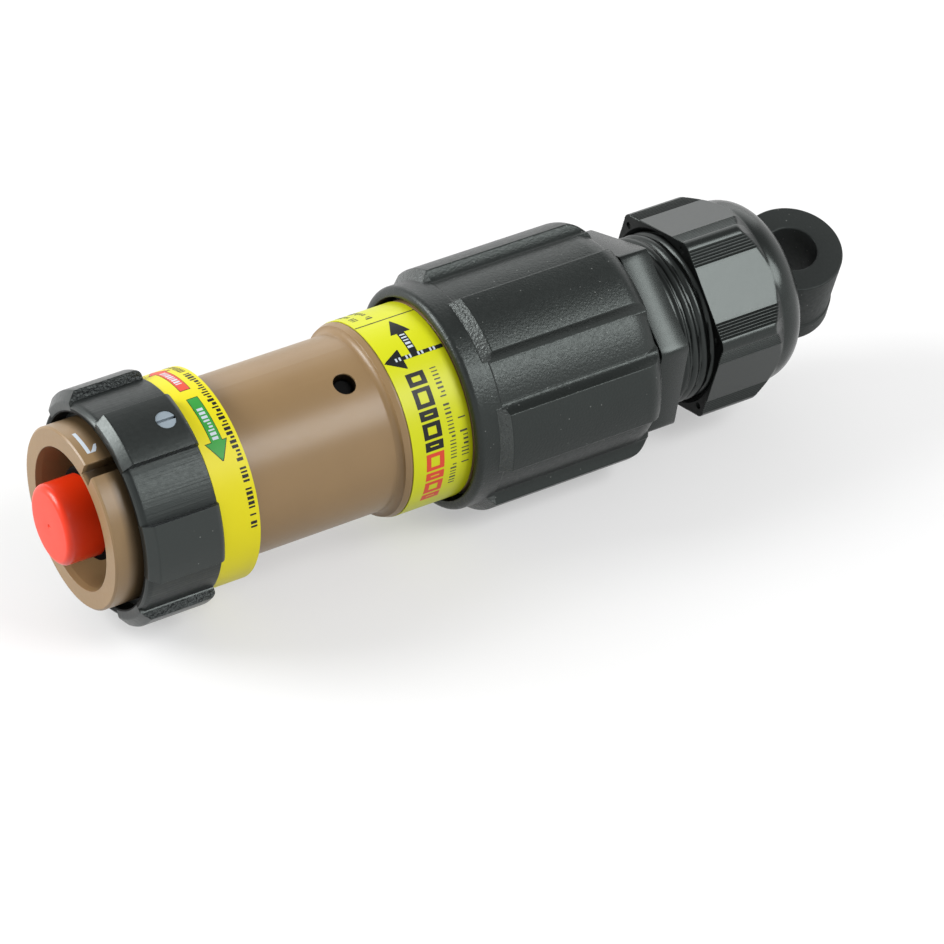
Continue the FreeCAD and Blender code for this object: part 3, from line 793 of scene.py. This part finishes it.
nut_x = steps(
    (nut_start, nut_start + 0.3, 0.06),
    (nut_start + 0.3, bevel_start - 0.9, 2.4),
    (bevel_start - 0.9, dome_start + 0.6, 0.35),
    (dome_start + 0.6, nut_end - 0.6, 0.41),
    (nut_end - 0.6, nut_end, 0.1),
)
nut_rows = [(x, nut_radius(x, nut_angles)) for x in nut_x]
nut_rows += [
    (nut_end, nut_rim - 0.4),
    (nut_end, nut_mouth + 0.5),
    (nut_end - 0.15, nut_mouth + 0.15),
    (nut_end - 0.5, nut_mouth),
    (cone_end, nut_mouth),
    (cone_start, nut_thread),
    (nut_start + 1.2, nut_thread),
    (nut_start, nut_thread + 1.2),
]
for share in np.linspace(0, 1, 22)[1:-1]:
    radius = nut_thread + 1.2 + share * (nut_flat(nut_angles) - 0.2 - nut_thread - 1.2)
    away = np.radians((nut_angles - nut_corner - dot_turn + 30) % 60 - 30)
    gap = np.hypot(radius * np.cos(away) - dot_place, radius * np.sin(away))
    nut_rows.append((nut_start + dot_depth * (1 - smooth_step(gap, 0.75, 1.0)), radius))


def nut_zone(x, radius, angle):
    """Grained middles of the flats, ribs, and a front with its six dots, darkened and dulled as painted
    shade.
    """
    place = np.abs(rib_place(angle))
    flats = (x > nut_start + 0.4) & (x < dome_start) & (radius > nut_thread + 1.5)
    ribs = flats & (place > rib_inner) & (place < rib_inner + rib_count * rib_pitch)
    front = (x < nut_start + 0.65) & (radius < nut_flat(angle) - 0.15)
    return np.select([flats & (place < rib_inner - 0.4), ribs, front], [1, 2, 3], 0)


nut_materials = [gland_black, nut_grain, rib_black, nut_front_painted_shade]
nut = skin("dome_nut_moulding", nut_rows, nut_angles, nut_materials, nut_zone, 30)
finish_piece(nut, "nut", "dome_nut")


# Latch spring, a copy of the coil with a mesh of its own

coil = bpy.data.objects.new("latch_coil", nodes["latch_spring"].data.copy())
coil.matrix_world = nodes["latch_spring"].matrix_world
bpy.context.scene.collection.objects.link(coil)
finish_piece(coil, "shell", "latch_spring")
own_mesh(coil)


# Rubber insert

insert_profile = rounded(
    [
        (7.15, -11.6),
        (14.4, -11.6),
        (14.4, -6.6),
        (14.0, -6.2),
        (14.05, -2.0),
        (14.25, 6.0),
        (14.4, 11.6),
        (7.15, 11.6),
    ],
    [0.5, 0.55, 0.25, 0.3, 3.0, 3.0, 0.5, 0.6],
)
insert_x, insert_turn, insert_lean = 223.245, 20.7, -4.2
insert = lathe("seal_insert_rubber", insert_profile, rubber, 192)
insert.data.transform(
    Matrix.Translation((insert_x * MM, 0, 0))
    @ Matrix.Rotation(math.radians(insert_turn), 4, "X")
    @ Matrix.Rotation(math.radians(insert_lean), 4, "Y")
)
finish_piece(insert, "nut", "seal_insert")


# Red tip

tip_profile = rounded(
    [
        (0.0, -5.9),
        (0.35, -5.9),
        (0.75, -6.2),
        (11.05, -6.2),
        (11.1, 4.5),
        (4.0, 4.5),
        (4.0, 13.2),
        (0.0, 13.2),
    ],
    [0, 0.15, 0.4, 1.9, 0.15, 0, 0, 0],
    8,
)
tip = lathe("contact_tip_cap", tip_profile, tip_red, 128)
tip.data.transform(Matrix.Rotation(math.radians(90), 4, "Y"))
finish_piece(tip, "shell", "contact_tip")


# Print on the labels and the nose

class Print:
    """Thin printed shapes on a round surface, gathered into one piece. Those of another height
    lie under or over the rest."""

    def __init__(self, radius, height=0.03):
        self.low, self.high = radius - 0.01, radius + height
        self.vertices, self.faces = [], []

    def strip(self, *edges):
        """Shape given by (angle, x from, x to) lines, joined in order."""
        lines = []
        for first, second in zip(edges, edges[1:]):
            count = max(1, math.ceil(abs(second[0] - first[0]) / 1.5))
            for k in range(count):
                lines.append([a + (b - a) * k / count for a, b in zip(first, second)])
        lines.append(list(edges[-1]))
        base = len(self.vertices)
        for angle, x_from, x_to in lines:
            turn = math.radians(angle)
            for radius in (self.low, self.high):
                for x in (x_from, x_to):
                    self.vertices.append((x, -radius * math.sin(turn), radius * math.cos(turn)))
        for k in range(len(lines) - 1):
            a, b = base + 4 * k, base + 4 * k + 4
            self.faces += [
                (a + 2, a + 3, b + 3, b + 2),
                (a, b, b + 1, a + 1),
                (a, a + 2, b + 2, b),
                (a + 1, b + 1, b + 3, a + 3),
            ]
        end = base + 4 * len(lines) - 4
        self.faces += [(base, base + 1, base + 3, base + 2), (end, end + 2, end + 3, end + 1)]

    def marks(self, x_from, x_to, start, end, width, gap, spaces=0.1):
        """Row of plain upright ticks, long and short, in groups along the round direction."""
        angle = start
        way = 1 if end > start else -1
        while (end - angle) * way > 0:
            if random.random() < spaces:
                angle += way * gap * 1.1
                continue
            low = x_from + (x_to - x_from) * random.choice((0.0, 0.0, 0.0, 0.35))
            wide = way * width * random.choice((0.8, 1.0, 1.5))
            self.strip((angle, low, x_to), (angle + wide, low, x_to))
            angle += wide + way * (gap - width)

    def frames(self, x_from, x_to, start, cell, widths, bar=1.4, post=2.4):
        """Row of bold plain frames, wide and narrow."""
        low = start
        for share in widths:
            high = low + cell * share
            for x in (x_from, x_to - bar):
                self.strip((low, x, x + bar), (high, x, x + bar))
            for side in (low, high - post):
                self.strip((side, x_from + bar, x_to - bar), (side + post, x_from + bar, x_to - bar))
            low = high + cell * 0.16

    def make(self, name, material, body):
        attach(new_piece(name, self.vertices, self.faces, [material], 50), body)


band_radius, label_radius = 29.1, 27.25
under, over = 0.02, 0.045

green = Print(band_radius)
green.strip((10.5, 32.35, 35.35), (38.6, 32.35, 35.35))
green.strip((38.6, 30.6, 36.5), (48.4, 33.4, 33.6))
green.make("ring_arrow_green", print_green, "ring")
red = Print(band_radius)
red.strip((3.0, 32.5, 35.3), (-24.0, 32.5, 35.3))
red.strip((-24.0, 30.6, 36.5), (-33.8, 33.4, 33.6))
red.make("ring_arrow_red", print_red, "ring")
dark = Print(band_radius, under)
dark.strip((10.1, 32.2, 35.5), (38.2, 32.2, 35.5))
dark.strip((38.2, 30.3, 36.8), (49.0, 33.3, 33.7))
dark.strip((3.4, 32.35, 35.45), (-23.6, 32.35, 35.45))
dark.strip((-23.6, 30.3, 36.8), (-34.4, 33.3, 33.7))
dark.marks(37.1, 38.9, 88.0, -36.0, 1.15, 2.1)
dark.make("ring_print_dark", print_black, "ring")
pale = Print(band_radius, over)
pale.marks(33.0, 34.7, 18.0, 37.0, 1.1, 2.0, 0)
pale.marks(33.0, 34.7, -3.0, -21.0, 1.1, 2.0, 0)
pale.make("ring_print_pale", print_white, "ring")

black = Print(label_radius)
black.strip((20.5, 92.3, 92.6), (25.4, 88.0, 92.6))
black.strip((25.4, 88.0, 104.8), (26.6, 87.1, 104.8), (27.8, 88.0, 104.8))
black.strip((27.8, 88.0, 92.6), (33.3, 92.3, 92.6))
black.strip((25.4, 95.3, 97.5), (9.9, 95.3, 97.5))
black.strip((9.9, 93.5, 99.4), (-2.2, 96.35, 96.45))
black.strip((-5.2, 86.95, 104.85), (-6.0, 86.95, 104.85))
black.frames(90.8, 96.2, 36.5, 9.4, (0.84, 1.2, 0.6, 1.0, 0.6))
black.marks(88.6, 90.4, -9.0, -70.0, 1.0, 2.4)
black.marks(92.2, 94.0, -9.0, -64.0, 1.0, 2.4)
black.make("label_print_black", print_black, "shell")
web = Print(label_radius)
web.marks(98.2, 100.0, 37.0, 112.0, 0.8, 2.3)
web.marks(101.5, 103.7, 68.0, 96.0, 0.8, 2.4)
web.make("label_print_grey", print_grey, "shell")
bold = Print(label_radius)
bold.frames(90.8, 96.2, 84.0, 9.4, (1.2, 0.6, 1.0, 0.6))
bold.make("label_print_red", print_red, "shell")
white = Print(label_radius, over)
white.marks(95.6, 97.2, 21.8, 11.5, 1.0, 2.2, 0)
for x in (90.4, 93.6, 97.2, 100.8):
    for side in (0.0, 1.1):
        white.strip((25.5, x + side, x + side + 0.55), (27.7, x + side, x + side + 0.55))
white.make("label_print_white", print_white, "shell")

figure = Print(nose_radius)
figure.strip((-2.8, 2.4, 3.4), (16.9, 2.4, 3.4))
figure.strip((16.9, 3.3, 4.8), (14.4, 4.3, 5.5), (11.4, 5.3, 6.0))
figure.make("nose_figure", print_white, "shell")


# Floor, world and lamps

box_low, box_high = (Vector(corner) for corner in cad_box)


def make_floor(reach, below):
    """Plain square. Seen directly or in a reflection it glows, more so far from the part."""
    height = box_low.z - below
    corners = ((-1, -1), (1, -1), (1, 1), (-1, 1))
    mesh = bpy.data.meshes.new("floor")
    mesh.from_pydata([(x * reach, y * reach, height) for x, y in corners], [], [(0, 1, 2, 3)])
    floor = bpy.data.objects.new("floor", mesh)
    bpy.context.scene.collection.objects.link(floor)
    material, tree, shader = new_material("floor_white")
    shader.inputs["Base Color"].default_value = (0.46, 0.46, 0.46, 1)
    shader.inputs["Roughness"].default_value = 0.9
    shader.inputs["Specular IOR Level"].default_value = 0.0
    shader.inputs["Emission Color"].default_value = (1, 1, 1, 1)
    place = add(tree, "TexCoord")
    away = distance(tree, place.outputs["Object"], (1, 1, 1))
    path = add(tree, "LightPath")
    rays = [path.outputs[f"Is {kind} Ray"] for kind in ("Camera", "Glossy", "Transmission")]
    seen = combine(tree, "MAXIMUM", *rays)
    glow = combine(tree, "MULTIPLY", seen, spread(tree, away, 0.40, 0.75, 0.5, 1.5))
    tree.links.new(glow, shader.inputs["Emission Strength"])
    mesh.materials.append(material)


def make_world():
    """Even light from below and from the sides, and less of it from above."""
    world = bpy.data.worlds.new("studio")
    world.use_nodes = True
    bpy.context.scene.world = world
    tree = world.node_tree
    place = add(tree, "TexCoord")
    part = add(tree, "SeparateXYZ")
    tree.links.new(place.outputs["Generated"], part.inputs["Vector"])
    level = spread(tree, part.outputs["Z"], 1.0, 0.40, 0.30, 0.60)
    tree.links.new(level, tree.nodes["Background"].inputs["Color"])


def softbox(name, direction, away, width, height, radiance):
    """Rectangular lamp that faces the middle of the part, away from it by a distance."""
    lamp = bpy.data.lights.new(name, "AREA")
    lamp.shape = "RECTANGLE"
    lamp.size, lamp.size_y = width, height
    lamp.energy = radiance * math.pi * width * height
    thing = bpy.data.objects.new(name, lamp)
    bpy.context.scene.collection.objects.link(thing)
    way = Vector(direction).normalized()
    thing.location = (box_low + box_high) / 2 + way * away
    thing.rotation_euler = way.to_track_quat("Z", "Y").to_euler()


make_floor(8.0, 0.0002)
make_world()
softbox("lamp_right", (0.43, -0.63, 0.65), 1.3, 0.66, 0.64, 8.7)
softbox("lamp_left", (-0.76, 0.46, 0.48), 1.3, 0.62, 0.74, 12.9)
softbox("lamp_back", (0.43, 0.75, 0.50), 1.6, 1.8, 1.0, 1.1)

bpy.context.scene.view_settings.view_transform = "Standard"
